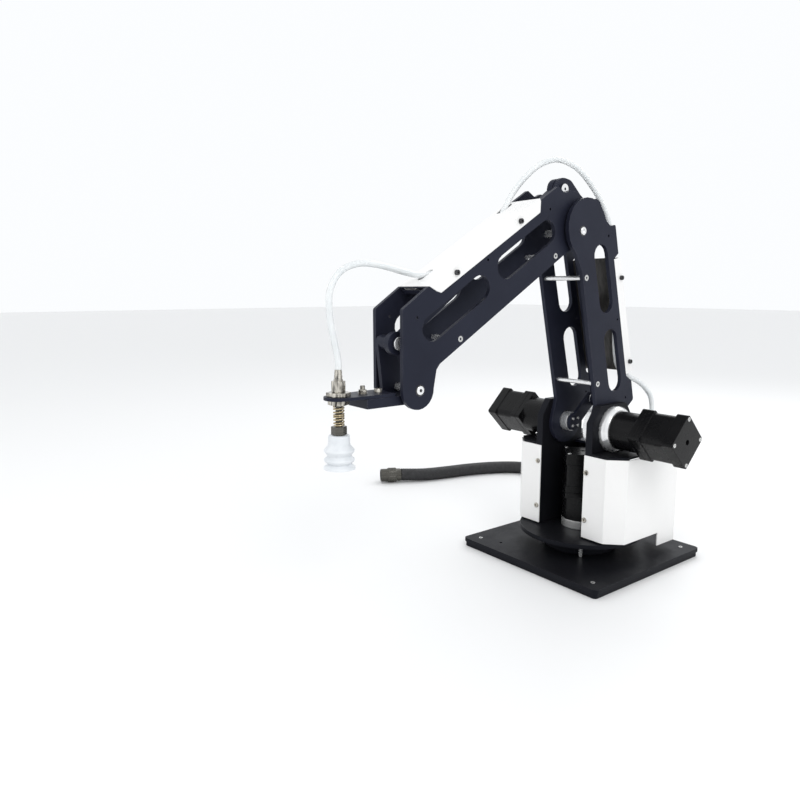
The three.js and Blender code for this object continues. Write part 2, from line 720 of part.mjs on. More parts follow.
// ---------- wrist and suction cup ----------
function buildWrist() {
  const blockTop = 297.7;
  const blockBottom = 286;
  const top = blockTop - wrist.z;
  const bottom = blockBottom - wrist.z;
  const blockFront = 438 - wrist.x;
  const block = box(-14, blockFront, -CHEEK_OUT, CHEEK_OUT, bottom, top);
  // One cheek rises on the right side and carries the upper pin, with its spacer and bolt head.
  const [pinX, pinZ] = TOP_LUG;
  const cheek = rounded([
    [-14, bottom],
    [22, bottom],
    [pinX + 9, pinZ - 4, 20],
    [pinX + 8, pinZ + 9.5, 9],
    [pinX - 9, pinZ + 9.5, 9],
    [-14, 2, 10],
  ]);
  const bore = circlePoints(0, 0, WRIST_SHAFT_RADIUS + GAP);
  const pin = joined(
    rod(PIN_RADIUS, -CHEEK_IN - 1, LINK_OUT + 2, 16),
    rod(PIN_RADIUS + 3, -CHEEK_IN - 1, LINK_IN - GAP, 16),
    rod(PIN_RADIUS + 1, LINK_OUT + GAP, LINK_OUT + 4.3, 16),
  ).translate(pinX, 0, pinZ);
  part(
    atWrist,
    "wrist_bracket",
    joined(block, sidePlate(cheek, [bore], -CHEEK_OUT, -CHEEK_IN), pin),
    blackPaint(),
  );

  const plateBottom = blockTop + GAP;
  const plateTop = 302;
  const endRadius = 18;
  const reach = CUP_X - wrist.x;
  const plan = [new THREE.Vector2(30, -CHEEK_OUT), new THREE.Vector2(blockFront - 8, -CHEEK_OUT)];
  for (let k = 0; k <= 12; k += 1) {
    const angle = radians(-80 + (160 * k) / 12);
    plan.push(new THREE.Vector2(reach + endRadius * Math.cos(angle), endRadius * Math.sin(angle)));
  }
  plan.push(new THREE.Vector2(blockFront - 8, CHEEK_OUT), new THREE.Vector2(30, CHEEK_OUT));
  part(
    atWrist,
    "tool_plate",
    floorPlate(plan, [circlePoints(reach, 0, 7.3)], plateBottom - wrist.z, plateTop - wrist.z),
    blackPaint(),
  );
  buildSuction(plateBottom, plateTop);
}

const hexagon = (radius) => circlePoints(0, 0, radius, 6);

function buildSuction(plateBottom, plateTop) {
  const stemClear = 4.6;
  // Threaded guide through the plate, with the hexagon body and the hose barb on top.
  const guide = aboutZ(
    turned([
      [stemClear, plateBottom - 7],
      [7, plateBottom - 7],
      [7, plateTop + 6],
      [stemClear, plateTop + 6],
    ]),
  );
  const port = floorPlate(hexagon(8.4), [], plateTop + 5.3, plateTop + 18.5);
  const barb = aboutZ(
    turned([
      [0, plateTop + 18],
      [5.6, plateTop + 18],
      [5.6, plateTop + 19.5],
      [3, plateTop + 20.5],
      [4.4, plateTop + 23],
      [2.6, plateTop + 26],
      [2.6, plateTop + 29],
      [0, plateTop + 29],
    ], 16),
  );
  part(atCup, "vacuum_port", joined(guide, port, barb), steel());
  const lockNut = (radius, low, high) => floorPlate(hexagon(radius), [circlePoints(0, 0, 7.3)], low, high);
  part(atCup, "upper_lock_nut", lockNut(15, plateTop + GAP, plateTop + 5), steel());
  part(atCup, "lower_lock_nut", lockNut(13, plateBottom - 6, plateBottom - GAP), steel());

  const collarTop = 266;
  const collarBottom = 256;
  const stem = joined(
    rod(4, collarBottom - 3, plateTop - 6, 16).rotateX(Math.PI / 2),
    floorPlate(hexagon(9.6), [], collarBottom, collarTop),
  );
  part(atCup, "suction_stem", stem, darkSteel());

  // Compression spring between the guide and the collar.
  const coilRadius = 6.1;
  const wire = 0.9;
  const turns = 5;
  const perTurn = 10;
  const springFrom = collarTop + GAP + wire;
  const springTo = plateBottom - 7 - GAP - wire;
  const coil = Array.from({ length: turns * perTurn + 1 }, (_, k) => {
    const angle = (2 * Math.PI * k) / perTurn;
    const z = springFrom + ((springTo - springFrom) * k) / (turns * perTurn);
    return [coilRadius * Math.cos(angle), coilRadius * Math.sin(angle), z];
  });
  part(atCup, "suction_spring", tube(coil, wire, turns * perTurn, 6), brass());

  // Bellows cup: a lip and two folds below a plain neck, as [radius, height over the lip].
  const lip = 214.4;
  const top = collarBottom - GAP;
  const wall = 2.2;
  const folds = [[14.6, 5.7], [18.6, 10.9], [14.6, 16.1], [18.5, 22.3], [13.4, 29.5]];
  const bellows = [[19.4, 0], [19.2, 1.5], ...folds];
  const outside = [...bellows.map(([r, height]) => [r, lip + height]), [13, top]];
  const inside = outside.slice(0, -1).map(([r, z]) => [r - wall, z]).reverse();
  const profile = [...outside, [4.6, top], [4.6, lip + 35], [10.8, lip + 35], ...inside];
  part(atCup, "suction_cup", aboutZ(turned(profile, 24)), silicone());
}

// ---------- hoses and conduit ----------
const HOSE_INLET = [-84, 62];

function buildHoses() {
  const shelfTop = SHELF_Z + SHELF_THICK + GAP;
  const inlet = aboutZ(turned([[0, 0], [7, 0], [7, 8], [4.2, 9], [4.2, 12], [0, 12]], 16));
  part(
    robot,
    "hose_inlet",
    inlet.translate(...HOSE_INLET, shelfTop),
    steel(),
  );
  part(
    robot,
    "hose_shoulder",
    tube(
      [
        [...HOSE_INLET, shelfTop + 12.4],
        [...HOSE_INLET, shelfTop + 16],
        [-89, 60, 208],
        [-99, 56, 223],
        [-107, 52, 240],
        [-108, 47, 255],
        [-100, 42, 268],
        [-86, 38, 279],
        [-69, 34, 287],
        [-52, 31, 295.5],
        [-38, 30, 310],
        [-30, 30, 338],
        [-26.9, 30, 375.7],
      ],
      HOSE_RADIUS,
      28,
    ),
    hosePlastic(),
  );
  part(
    robot,
    "hose_elbow_rear",
    tube(
      [
        [-26.7, 30, 376.4],
        [-20, 30, 420],
        [-12, 31, 462],
        [-4, 31, 506],
        [6, 29, 538],
        [26, 21, 572],
        [52, 11, 600],
        [74, 3.7, 610.3],
        [82, 1.1, 611.6],
      ],
      HOSE_RADIUS,
      18,
    ),
    hosePlastic(),
  );
  part(
    robot,
    "hose_elbow_front",
    tube(
      [
        [83, 0.8, 611.7],
        [91, -1.8, 611.8],
        [114, -9.5, 603],
        [142, -17, 579],
        [161.7, -20, 555.4],
        [171.4, -20, 540.5],
        [181.9, -18, 526.9],
        [195.8, -15, 515.3],
        [217, -10, 502.1],
      ],
      HOSE_RADIUS,
      16,
    ),
    hosePlastic(),
  );
  part(
    robot,
    "hose_wrist",
    tube(
      [
        [217.7, -9.8, 501.7],
        [260, -4, 475],
        [285, -4, 459.7],
        [303.9, -6.5, 450.8],
        [317, -7.5, 446.6],
        [330, -7.5, 444.8],
        [343, -7, 445.3],
        [354, -6, 446.9],
        [370, -4.5, 449.8],
        [386, -2.5, 452.9],
        [402, -1, 455.6],
        [418, 0, 457.3],
        [436, 0, 457],
        [460, 0, 448],
        [475, 0, 426],
        [476, 0, 398],
        [470, 0, 366],
        [CUP_X, 0, 345],
        [CUP_X, 0, 331.6],
      ],
      HOSE_RADIUS,
      32,
    ),
    hosePlastic(),
  );
}

function buildConduit() {
  const exit = [-TURRET_HALF_X, 0, CONDUIT_Z];
  const gland = aboutZ(turned([[0, 0], [19, 0], [19, 6], [16, 8], [16, 22], [13.5, 26], [0, 26]]));
  part(
    robot,
    "conduit_gland",
    gland.rotateY(-Math.PI / 2).translate(exit[0] - GAP, exit[1], exit[2]),
    blackRubber(),
  );
  part(
    robot,
    "control_conduit",
    tube(
      [
        [-77, 0, CONDUIT_Z],
        [-86, 0, CONDUIT_Z],
        [-112, -1, 87],
        [-150, -8, 70],
        [-188, -34, 38],
        [-222, -78, 19],
        [-258, -140, CONDUIT_RADIUS + 1],
        [-288, -214, CONDUIT_RADIUS + 0.1],
        [-306, -290, CONDUIT_RADIUS + 0.1],
        [-304, -352, CONDUIT_RADIUS],
        [-282, -400, CONDUIT_RADIUS],
        [-240, -432, CONDUIT_RADIUS],
        [-180, -456, CONDUIT_RADIUS],
        [-120, -470, CONDUIT_RADIUS],
        [-64, -484, CONDUIT_RADIUS + 1],
        [-20, -508, CONNECTOR_RADIUS + 0.2],
      ],
      CONDUIT_RADIUS,
      34,
    ),
    blackRubber(),
  );
  const shell = [[0, 0], [14, 0], [14, 10], [CONNECTOR_RADIUS, 12]];
  const nose = [[CONNECTOR_RADIUS, 30], [14.5, 32], [14.5, 46], [0, 46]];
  const connector = aboutZ(turned([...shell, ...nose])).rotateY(Math.PI / 2).rotateZ(radians(-28.6));
  part(
    robot,
    "conduit_connector",
    connector.translate(-19.2, -508.4, CONNECTOR_RADIUS + 0.2),
    darkSteel(),
  );
}

buildBase();
buildTurret();
buildDrives();
buildUpperArm();
buildLinks();
buildForearm();
buildWrist();
buildHoses();
buildConduit();

export default robot;
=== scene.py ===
"""Looks for the desktop robot arm: camera, hoses and conduit, fastenings, detailed soft pieces and materials.

Metres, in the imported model's frame: +Z up, +X forward towards the suction cup, +Y to the arm's own left.
"""

import json
import math

import bmesh
import bpy
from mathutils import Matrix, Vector


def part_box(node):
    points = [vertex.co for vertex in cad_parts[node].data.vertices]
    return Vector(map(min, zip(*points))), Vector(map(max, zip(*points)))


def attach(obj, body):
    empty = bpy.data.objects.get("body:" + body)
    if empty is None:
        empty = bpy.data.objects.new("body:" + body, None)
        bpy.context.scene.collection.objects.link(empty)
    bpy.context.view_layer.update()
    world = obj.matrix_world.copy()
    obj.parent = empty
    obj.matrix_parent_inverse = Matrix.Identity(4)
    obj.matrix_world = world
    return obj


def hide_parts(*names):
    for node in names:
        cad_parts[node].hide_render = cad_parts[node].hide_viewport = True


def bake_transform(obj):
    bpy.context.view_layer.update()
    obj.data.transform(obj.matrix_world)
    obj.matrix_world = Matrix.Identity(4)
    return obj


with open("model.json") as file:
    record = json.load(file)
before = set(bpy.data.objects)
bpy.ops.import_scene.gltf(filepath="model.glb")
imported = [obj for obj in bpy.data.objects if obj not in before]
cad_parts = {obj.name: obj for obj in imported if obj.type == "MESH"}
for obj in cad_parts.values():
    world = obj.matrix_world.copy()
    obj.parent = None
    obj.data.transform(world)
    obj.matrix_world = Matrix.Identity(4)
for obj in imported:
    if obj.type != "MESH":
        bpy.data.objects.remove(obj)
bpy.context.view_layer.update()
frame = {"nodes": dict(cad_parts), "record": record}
MM = 0.001
UP = (0, 0, 1)
ACROSS = (0, 1, 0)
JOINTS = {joint["name"]: joint for joint in frame["record"]["behaviour"]["joints"]}
SHOULDER = Vector(JOINTS["shoulder"]["pos_m"])
ELBOW = Vector(JOINTS["elbow"]["pos_m"])
WRIST = Vector(JOINTS["wrist_level"]["pos_m"])
UPPER_LEAN = math.atan2(ELBOW.x - SHOULDER.x, ELBOW.z - SHOULDER.z)
FOREARM_PITCH = math.radians(31.3)  # downward slope of the forearm's edges


def upper_arm_point(forward, y, along):
    """A point in the upper arm's own frame, in millimetres from the shoulder axis."""
    cos, sin = math.cos(UPPER_LEAN), math.sin(UPPER_LEAN)
    side = Vector((forward * cos + along * sin, y, along * cos - forward * sin))
    return SHOULDER + side * MM


def forearm_point(along, y, across):
    """A point in the forearm's own frame, in millimetres from the elbow axis."""
    cos, sin = math.cos(FOREARM_PITCH), math.sin(FOREARM_PITCH)
    side = Vector((along * cos + across * sin, y, across * cos - along * sin))
    return ELBOW + side * MM


def middle(node, axis):
    """Halfway across a CAD node's box, along x, y or z (0, 1 or 2)."""
    low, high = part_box(node)
    return (low[axis] + high[axis]) / 2


# ---------- camera, light and floor ----------
CAMERA_LENS = 31.12
CAMERA_SENSOR = 36
CAMERA_AT = (0.9013, 0.6862, 0.4273)
CAMERA_HEADING = math.radians(232.44)
CAMERA_PITCH = math.radians(-9.1)
FLOOR_HALF = 14.0
ARM_MIDDLE = (0.1, 0, 0.3)


def add_camera():
    data = bpy.data.cameras.new("camera")
    data.lens = CAMERA_LENS
    data.sensor_width = CAMERA_SENSOR
    camera = bpy.data.objects.new("camera", data)
    bpy.context.collection.objects.link(camera)
    level = math.cos(CAMERA_PITCH)
    forward = Vector(
        (math.cos(CAMERA_HEADING) * level, math.sin(CAMERA_HEADING) * level, math.sin(CAMERA_PITCH))
    )
    camera.location = CAMERA_AT
    camera.rotation_euler = forward.to_track_quat("-Z", "Y").to_euler()
    bpy.context.scene.camera = camera


def add_area_light(name, location, target, size, power):
    data = bpy.data.lights.new(name, "AREA")
    data.size = size
    data.energy = power
    light = bpy.data.objects.new(name, data)
    bpy.context.collection.objects.link(light)
    light.location = location
    direction = Vector(target) - Vector(location)
    light.rotation_euler = direction.to_track_quat("-Z", "Y").to_euler()


def add_stage():
    mesh = bpy.data.meshes.new("floor")
    corners = [(-1, -1), (1, -1), (1, 1), (-1, 1)]
    mesh.from_pydata([(x * FLOOR_HALF, y * FLOOR_HALF, 0) for x, y in corners], [], [(0, 1, 2, 3)])
    floor = bpy.data.objects.new("floor", mesh)
    bpy.context.collection.objects.link(floor)
    material = bpy.data.materials.new("floor_white")
    material.use_nodes = True
    shader = material.node_tree.nodes["Principled BSDF"]
    shader.inputs["Base Color"].default_value = (0.86, 0.86, 0.86, 1)
    shader.inputs["Roughness"].default_value = 0.6
    mesh.materials.append(material)

    world = bpy.data.worlds.new("studio")
    world.use_nodes = True
    background = world.node_tree.nodes["Background"]
    background.inputs["Color"].default_value = (0.97, 0.985, 1, 1)
    background.inputs["Strength"].default_value = 1.0
    bpy.context.scene.world = world
    bpy.context.scene.view_settings.view_transform = "Standard"
    add_area_light("key_light", (0.8, 1.9, 1.9), ARM_MIDDLE, 1.2, 17)
    add_area_light("front_light", (1.9, -0.5, 1.0), ARM_MIDDLE, 1.0, 3)
    add_area_light("back_light", (-1.4, -0.6, 1.6), (0, 0, 0.35), 1.2, 9)


# ---------- materials ----------
class Look:
    """A node material in the model's own coordinates, built up one layer at a time."""

    def __init__(self, name, roughness, metallic=0.0):
        self.material = bpy.data.materials.new(name)
        self.material.use_nodes = True
        self.nodes = self.material.node_tree.nodes
        self.links = self.material.node_tree.links
        self.shader = self.nodes["Principled BSDF"]
        self.shader.inputs["Roughness"].default_value = roughness
        self.shader.inputs["Metallic"].default_value = metallic
        self.place = self.nodes.new("ShaderNodeTexCoord").outputs["Object"]
        self.colour = None
        self.height = None

    def noise(self, scale, detail=4.0, roughness=0.55, stretch=(1, 1, 1)):
        mapping = self.nodes.new("ShaderNodeMapping")
        mapping.inputs["Scale"].default_value = stretch
        self.links.new(self.place, mapping.inputs["Vector"])
        noise = self.nodes.new("ShaderNodeTexNoise")
        noise.inputs["Scale"].default_value = scale
        noise.inputs["Detail"].default_value = detail
        noise.inputs["Roughness"].default_value = roughness
        self.links.new(mapping.outputs["Vector"], noise.inputs["Vector"])
        return noise.outputs["Fac"]

    def spread(self, source, low, high, start=0.3, end=0.7):
        """source's middle range turned into values from low to high."""
        node = self.nodes.new("ShaderNodeMapRange")
        node.inputs["From Min"].default_value = start
        node.inputs["From Max"].default_value = end
        node.inputs["To Min"].default_value = low
        node.inputs["To Max"].default_value = high
        self.links.new(source, node.inputs["Value"])
        return node.outputs["Result"]

    def multiply(self, first, second):
        node = self.nodes.new("ShaderNodeMath")
        node.operation = "MULTIPLY"
        self.links.new(first, node.inputs[0])
        self.links.new(second, node.inputs[1])
        return node.outputs["Value"]

    def dot(self, first, second):
        """Dot product of a vector socket with another one, or with a fixed vector."""
        node = self.nodes.new("ShaderNodeVectorMath")
        node.operation = "DOT_PRODUCT"
        self.links.new(first, node.inputs[0])
        if isinstance(second, tuple):
            node.inputs[1].default_value = second
        else:
            self.links.new(second, node.inputs[1])
        return node.outputs["Value"]

    def blend(self, factor, first, second):
        """A colour between two others. Each is a socket or a fixed colour."""
        node = self.nodes.new("ShaderNodeMix")
        node.data_type = "RGBA"
        self.links.new(factor, node.inputs["Factor"])
        for name, value in (("A", first), ("B", second)):
            if isinstance(value, tuple):
                node.inputs[name].default_value = (*value, 1)
            else:
                self.links.new(value, node.inputs[name])
        return node.outputs["Result"]

    def mottle(self, source, dark, light):
        """Base colour running between two near shades."""
        self.colour = self.blend(self.spread(source, 0, 1), dark, light)

    def wear(self, colour, amount, width=0.0007):
        """Rubbed colour along the edges, broken up by noise."""
        bevel = self.nodes.new("ShaderNodeBevel")
        bevel.samples = 4
        bevel.inputs["Radius"].default_value = width
        normal = self.nodes.new("ShaderNodeNewGeometry").outputs["Normal"]
        edge = self.spread(self.dot(bevel.outputs["Normal"], normal), amount, 0, 0.8, 0.985)
        broken = self.multiply(edge, self.spread(self.noise(90, 5), 0.15, 1, 0.4, 0.62))
        self.colour = self.blend(broken, self.colour, colour)

    def painted_inside_shade(self, dark, light, forward):
        """Painted shade: dark colour on the faces that look into a channel, or forwards along its open side,
        with painted streaky reflections.
        """
        normal = self.nodes.new("ShaderNodeTexCoord").outputs["Normal"]
        # Faces looking into the channel, and faces looking forward, get dark colour: painted shade.
        outward = self.multiply(self.dot(self.place, ACROSS), self.dot(normal, ACROSS))
        inward = self.spread(outward, 1, 0, -0.012, -0.004)
        front = self.spread(self.dot(normal, forward), 0, 1, 0.5, 0.8)
        painted_shade_mask = self.nodes.new("ShaderNodeMath")
        painted_shade_mask.operation = "MAXIMUM"
        self.links.new(inward, painted_shade_mask.inputs[0])
        self.links.new(front, painted_shade_mask.inputs[1])
        # Lighter vertical streaks over the dark: painted reflections.
        painted_streak_reflections = self.spread(self.noise(160, 4, 0.6, (1, 1, 0.04)), 0, 1)
        self.colour = self.blend(painted_shade_mask.outputs["Value"], self.colour, self.blend(painted_streak_reflections, dark, light))

    def rough(self, source, low, high):
        self.links.new(self.spread(source, low, high), self.shader.inputs["Roughness"])

    def bump(self, source, distance, strength=1.0):
        node = self.nodes.new("ShaderNodeBump")
        node.inputs["Distance"].default_value = distance
        node.inputs["Strength"].default_value = strength
        self.links.new(source, node.inputs["Height"])
        if self.height is not None:
            self.links.new(self.height, node.inputs["Normal"])
        self.height = node.outputs["Normal"]

    def finish(self):
        if self.colour is not None:
            self.links.new(self.colour, self.shader.inputs["Base Color"])
        if self.height is not None:
            self.links.new(self.height, self.shader.inputs["Normal"])
        return self.material


def anodised(name, dark, light, wear_colour, shine):
    """Bead-blasted anodised plate: fine grain, faint handling marks, rubbed edges."""
    look = Look(name, 0.42)
    look.shader.inputs["Specular IOR Level"].default_value = shine
    look.shader.inputs["Specular Tint"].default_value = (0.72, 0.8, 1, 1)
    look.mottle(look.noise(14, 5), dark, light)
    look.wear(wear_colour, 0.55)
    look.rough(look.noise(22, 6, 0.7), 0.36, 0.5)
    look.bump(look.noise(2600, 2), 0.00006)
    look.bump(look.noise(60, 3), 0.0001, 0.4)
    return look.finish()


def powder_coat(name, dark, light, shaded_open_side=None):
    """White powder coat: a very fine orange peel and a soft, even sheen. A channel may get painted shade
    inside.
    """
    look = Look(name, 0.35)
    look.mottle(look.noise(9, 4), dark, light)
    look.wear((0.62, 0.63, 0.65), 0.35)
    if shaded_open_side:
        # Dark streaky colour inside the channel: painted shade with painted reflections.
        look.painted_inside_shade((0.012, 0.011, 0.010), (0.075, 0.07, 0.064), shaded_open_side)
    look.rough(look.noise(30, 5), 0.3, 0.42)
    look.bump(look.noise(900, 2), 0.00005)
    look.shader.inputs["Coat Weight"].default_value = 0.25
    look.shader.inputs["Coat Roughness"].default_value = 0.2
    return look.finish()


def turned_steel(name, dark, light, axis=UP, roughness=(0.16, 0.3), reflection_patches=0):
    """Lathe-turned steel: fine tool marks that run round the given axis, and a few smears.

    reflection_patches is the noise scale of the darker and lighter patches painted as reflections on the
    plating. 0 shades by the tool marks.
    """
    look = Look(name, roughness[0], metallic=0.75)
    stretch = [1.0 if along else 0.02 for along in axis]
    marks = look.noise(700, 3, 0.6, stretch)
    # With reflection_patches, near-black and bright patches are painted reflections.
    shades = look.noise(reflection_patches, 2, 0.5, (1, 1, 0.25)) if reflection_patches else marks
    look.mottle(shades, dark, light)
    look.wear((0.85, 0.85, 0.86), 0.3)
    look.rough(look.noise(60, 6, 0.7), *roughness)
    look.bump(marks, 0.000012)
    return look.finish()


def motor_enamel():
    """Semi-gloss black enamel over castings and a stamped stack."""
    look = Look("motor_enamel", 0.3)
    look.shader.inputs["Specular IOR Level"].default_value = 0.15
    look.mottle(look.noise(25, 5), (0.004, 0.004, 0.0045), (0.006, 0.006, 0.0065))
    look.wear((0.12, 0.12, 0.13), 0.5)
    look.rough(look.noise(45, 6, 0.7), 0.22, 0.34)
    look.bump(look.noise(900, 3), 0.000015)
    look.bump(look.noise(140, 3), 0.00005, 0.4)
    return look.finish()


def white_silicone():
    """Soft white silicone that light sinks into a little."""
    look = Look("white_silicone", 0.4)
    look.mottle(look.noise(60, 5), (0.66, 0.69, 0.72), (0.74, 0.765, 0.79))
    look.rough(look.noise(120, 5), 0.32, 0.48)
    look.bump(look.noise(1500, 3), 0.00005)
    look.shader.inputs["Subsurface Weight"].default_value = 0.25
    look.shader.inputs["Subsurface Radius"].default_value = (0.004, 0.004, 0.004)
    look.shader.inputs["Subsurface Scale"].default_value = 1.0
    return look.finish()


def clear_hose():
    """Milky clear polyurethane."""
    look = Look("clear_hose", 0.2)
    look.mottle(look.noise(35, 4), (0.80, 0.83, 0.84), (0.9, 0.92, 0.925))
    look.rough(look.noise(90, 4), 0.14, 0.28)
    look.bump(look.noise(120, 3), 0.00003)
    look.shader.inputs["Transmission Weight"].default_value = 0.2
    look.shader.inputs["IOR"].default_value = 1.42
    look.shader.inputs["Subsurface Weight"].default_value = 0.3
    look.shader.inputs["Subsurface Radius"].default_value = (0.003, 0.003, 0.003)
    look.shader.inputs["Subsurface Scale"].default_value = 1.0
    return look.finish()


def braid():
    """Black woven nylon, with slightly greyer strand tops."""
    look = Look("nylon_braid", 0.55)
    look.mottle(look.noise(160, 5), (0.006, 0.006, 0.007), (0.022, 0.022, 0.024))
    look.wear((0.07, 0.07, 0.075), 0.5, 0.0003)
    look.rough(look.noise(300, 4), 0.42, 0.66)
    look.bump(look.noise(2200, 2, stretch=(1, 1, 0.4)), 0.00008)
    return look.finish()


def moulded_rubber():
    """Matt black rubber with a faint grain."""
    look = Look("moulded_rubber", 0.6)
    look.mottle(look.noise(50, 5), (0.010, 0.010, 0.011), (0.02, 0.02, 0.022))
    look.wear((0.06, 0.06, 0.065), 0.4)
    look.rough(look.noise(80, 5), 0.5, 0.7)
    look.bump(look.noise(1800, 3), 0.00006)
    return look.finish()


WHITE = ((0.83, 0.825, 0.815), (0.87, 0.866, 0.858))
ARM_FORWARD = (math.cos(UPPER_LEAN), 0, -math.sin(UPPER_LEAN))
LOOKS = {
    "plate": anodised(
        "blue_black",
        dark=(0.011, 0.012, 0.021),
        light=(0.015, 0.0165, 0.028),
        wear_colour=(0.14, 0.14, 0.17),
        shine=0.2,
    ),
    "base": anodised(
        "neutral_black",
        dark=(0.0055, 0.0056, 0.007),
        light=(0.0085, 0.0085, 0.0105),
        wear_colour=(0.1, 0.1, 0.105),
        shine=0.12,
    ),
    "white": powder_coat("white_powder_coat", *WHITE),
    # The cover's channel gets painted shade inside, with painted streaky reflections.
    "white_channel": powder_coat("white_coat_painted_channel_shade", *WHITE, ARM_FORWARD),
    "steel_z": turned_steel("turned_steel_upright", (0.66, 0.66, 0.65), (0.84, 0.84, 0.83)),
    "steel_y": turned_steel("turned_steel_across", (0.74, 0.745, 0.75), (0.88, 0.885, 0.89), ACROSS),
    # Nickel's near-black to bright patches are painted reflections.
    "nickel": turned_steel("nickel", (0.02, 0.018, 0.014), (0.78, 0.74, 0.66), UP, (0.08, 0.2), 330),
    "dark_steel": turned_steel("oiled_steel", (0.055, 0.053, 0.048), (0.12, 0.115, 0.1), UP, (0.22, 0.36)),
    "black_oxide": turned_steel("black_oxide", (0.03, 0.03, 0.032), (0.07, 0.07, 0.074), ACROSS, (0.2, 0.32)),
    "zinc": turned_steel("zinc_screws", (0.46, 0.46, 0.45), (0.68, 0.68, 0.67), UP, (0.18, 0.3)),
    "spring": turned_steel("spring_wire", (0.3, 0.24, 0.14), (0.55, 0.46, 0.3), UP, (0.16, 0.28)),
    "motor": motor_enamel(),
    "silicone": white_silicone(),
    "hose": clear_hose(),
    "braid": braid(),
    "rubber": moulded_rubber(),
}
SLOT_LOOKS = {
    "black_paint": "plate",
    "white_paint": "white",
    "steel": "steel_y",
    "dark_steel": "dark_steel",
    "spring_steel": "spring",
    "motor_black": "motor",
    "silicone": "silicone",
    "hose_plastic": "hose",
    "black_rubber": "rubber",
}
NODE_LOOKS = {
    "base_skirt": "base",
    "base_plate": "base",
    "bearing_housing": "base",
    "turntable_disc": "base",
    "turret_side_plate_left": "base",
    "turret_side_plate_right": "base",
    "turret_rear_wall": "base",
    "cover_shelf_left": "base",
    "cover_shelf_right": "base",
    "yaw_output_shaft": "steel_z",
    "yaw_gearbox_ring": "steel_z",
    "hose_inlet": "steel_z",
    "stop_stud": "steel_z",
    "vacuum_port": "nickel",
    "upper_lock_nut": "nickel",
    "lower_lock_nut": "nickel",
    "upper_arm_cover": "white_channel",
}


SHARP_ANGLE = math.radians(30)
WELD_DISTANCE = 0.00001
FLAT_ANGLE = math.radians(1)
EDGE_BEVEL = 0.0005
EDGE_ANGLE = math.radians(38)


def dress_frame():
    """The CAD nodes keep their vertices, and get a finish and softened edges from modifiers."""
    slots = {entry["node"]: entry["material_slot"] for entry in frame["record"]["subparts"]}
    for node, obj in frame["nodes"].items():
        look = NODE_LOOKS.get(node, SLOT_LOOKS[slots[node]])
        obj.data.materials.clear()
        obj.data.materials.append(LOOKS[look])
        obj.data.shade_smooth()
        obj.data.set_sharp_from_angle(angle=SHARP_ANGLE)
        weld = obj.modifiers.new("weld", "WELD")
        weld.merge_threshold = WELD_DISTANCE
        flatten = obj.modifiers.new("flatten", "DECIMATE")
        flatten.decimate_type = "DISSOLVE"
        flatten.angle_limit = FLAT_ANGLE
        bevel = obj.modifiers.new("edges", "BEVEL")
        bevel.width = EDGE_BEVEL
        bevel.segments = 2
        bevel.limit_method = "ANGLE"
        bevel.angle_limit = EDGE_ANGLE
        normals = obj.modifiers.new("flat_faces", "WEIGHTED_NORMAL")
        normals.keep_sharp = True


# ---------- mesh helpers ----------
def add_mesh(name, build, look, smooth_angle=38):
    """A new piece from a function that fills a bmesh in the model's own coordinates."""
    bm = bmesh.new()
    build(bm)
    bmesh.ops.recalc_face_normals(bm, faces=bm.faces)
    mesh = bpy.data.meshes.new(name)
    bm.to_mesh(mesh)
    bm.free()
    mesh.shade_smooth()
    mesh.set_sharp_from_angle(angle=math.radians(smooth_angle))
    mesh.materials.append(LOOKS[look])
    obj = bpy.data.objects.new(name, mesh)
    bpy.context.collection.objects.link(obj)
    return obj


def metres(profile):
    """A profile's [radius, height] steps, turned from millimetres into metres."""
    return [(radius * MM, height * MM) for radius, height in profile]


def bridge_rings(bm, rings):
    """Side faces between each ring of vertices and the next one."""
    for lower, upper in zip(rings, rings[1:]):
        count = len(lower)
        for i in range(count):
            j = (i + 1) % count
            bm.faces.new((lower[i], lower[j], upper[j], upper[i]))


def lathe(bm, profile, at, axis, sides=48, shape=None):
    """A turned solid from [radius, height] steps up the axis, closed at both ends.

    shape(step, angle) may scale a step's radius, for a hexagon or flutes.
    """
    turn = Vector(axis).to_track_quat("Z", "Y").to_matrix()
    rings = []
    for step, (radius, height) in enumerate(profile):
        ring = []
        for i in range(sides):
            angle = 2 * math.pi * i / sides
            r = radius * (shape(step, angle) if shape else 1)
            local = Vector((r * math.cos(angle), r * math.sin(angle), height))
            ring.append(bm.verts.new(Vector(at) + turn @ local))
        rings.append(ring)
    bridge_rings(bm, rings)
    bm.faces.new(list(reversed(rings[0])))
    bm.faces.new(rings[-1])


def hexagon_radius(angle):
    """A hexagon's edge over its corner radius, at an angle."""
    sector = (angle % (math.pi / 3)) - math.pi / 6
    return math.cos(math.pi / 6) / math.cos(sector)


# Screw heads: radius, height and the socket's corner radius, in millimetres.
BASE_HEAD = (3.2, 0.3, 1.7)
COVER_FRONT_HEAD = (3.9, 2.2, 1.8)
SIDE_PLATE_HEAD = (2.8, 0.6, 1.5)
MOTOR_HEAD = (3.1, 0.9, 1.5)
UPPER_ARM_HEAD = (4.4, 0.35, 1.8)
FOREARM_HEAD = (4.0, 0.35, 1.7)
CAP_HEAD = (3.5, 3.8, 1.7)
TOOL_PLATE_HEAD = (4.8, 4.6, 2.2)
ROCKER_PIN_HEAD = (7.2, 0.6, 2.2)
WRIST_PIN_HEAD = (8.4, 1.2, 3.4)
HUB_HEAD = (3.2, 1.4, 1.6)
CRANK_HEAD = (2.5, 1.2, 1.2)


